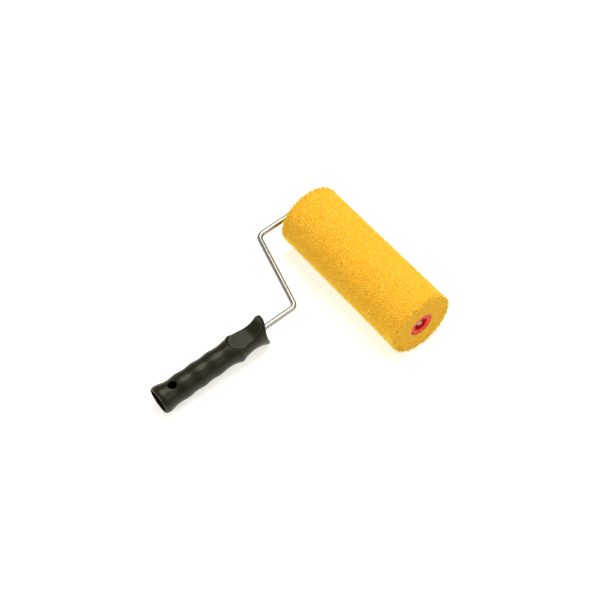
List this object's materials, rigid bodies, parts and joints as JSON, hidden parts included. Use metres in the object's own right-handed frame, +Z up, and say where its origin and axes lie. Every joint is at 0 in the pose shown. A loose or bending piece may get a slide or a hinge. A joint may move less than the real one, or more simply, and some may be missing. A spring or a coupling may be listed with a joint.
{
  "type": "paint roller",
  "caption": "Paint roller with a coarse foam cover that spins on a bent wire frame, and a moulded handle with a thumb rest, a pole socket and a hanging hole.",
  "frame": {"origin": "on the surface that the roller lies on, under the centre of its bounding box", "axes": "+X along the roller's axis to its free end, +Y from the handle to the roller, +Z up"},
  "size_m": [0.1976, 0.2875, 0.0721],
  "materials": {
    "handle_plastic": "satin moulded",
    "plated_steel": "bright zinc plated",
    "core_plastic": "plain extruded",
    "foam": "coarse open-pored foam",
    "cap_plastic": "satin moulded",
    "washer_steel": "zinc plated"
  },
  "bodies": {
    "frame": {"handle": "handle_plastic", "wire_frame": "plated_steel"},
    "roller": {"foam_cover": "foam", "core_tube": "core_plastic", "near_end_cap": "cap_plastic", "far_end_cap": "cap_plastic"},
    "thrust_washer": {"far_washer": "washer_steel"}
  },
  "joints": [
    {"name": "roller_spin", "type": "hinge", "parent": "frame", "child": "roller", "pos_m": [0.0078, 0.10775, 0.036], "axis": [1, 0, 0], "continuous": true},
    {"name": "washer_spin", "type": "hinge", "parent": "frame", "child": "thrust_washer", "pos_m": [-0.0786, 0.10775, 0.036], "axis": [1, 0, 0], "continuous": true}
  ]
}
